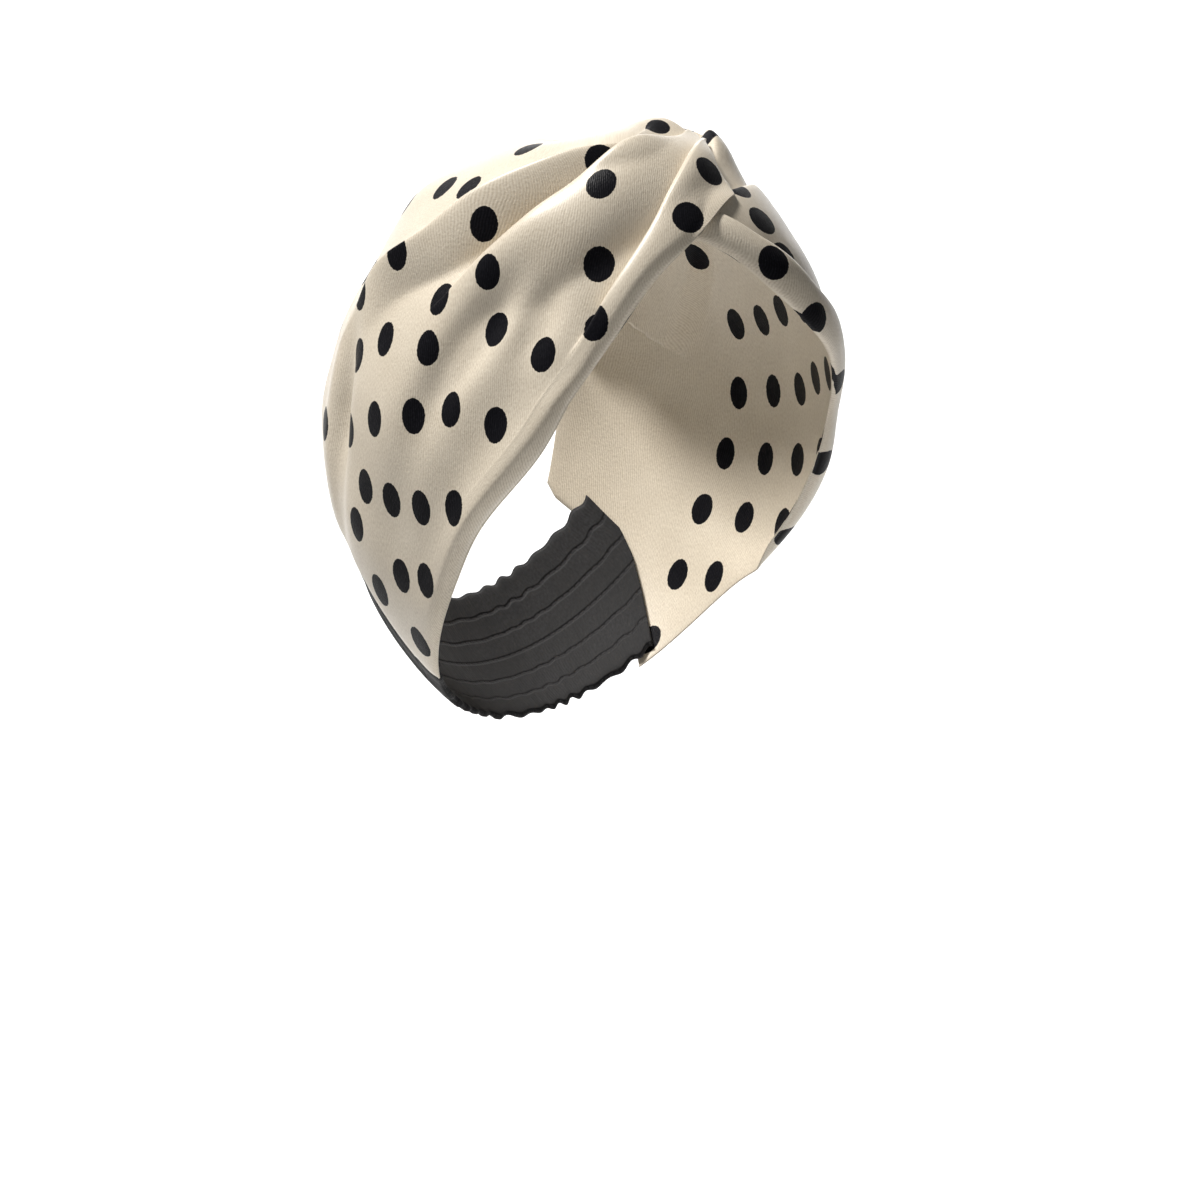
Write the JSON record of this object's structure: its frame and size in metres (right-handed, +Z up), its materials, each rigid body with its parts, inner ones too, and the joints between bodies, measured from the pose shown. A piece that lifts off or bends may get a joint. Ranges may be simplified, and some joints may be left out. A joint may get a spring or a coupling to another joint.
{
  "type": "turban headband",
  "caption": "Wide turban headband of dotted satin, its panels pleated into a twisted knot over the forehead and joined behind the neck by a gathered elastic.",
  "frame": {"origin": "centre of the head hollow, on the wearer's mid-plane, where the widest level section of the head sits", "axes": "+Z up along the wearer's upright head, -Y the way the wearer faces, -X the wearer's right"},
  "size_m": [0.1682, 0.1733, 0.2104],
  "materials": {
    "satin": "cream satin with a fine diagonal twill and printed near-black dots",
    "elastic_black": "matt black cloth shirred over elastic"
  },
  "bodies": {
    "root": {"right_panel": "satin", "left_panel": "satin", "back_elastic": "elastic_black"}
  },
  "joints": []
}
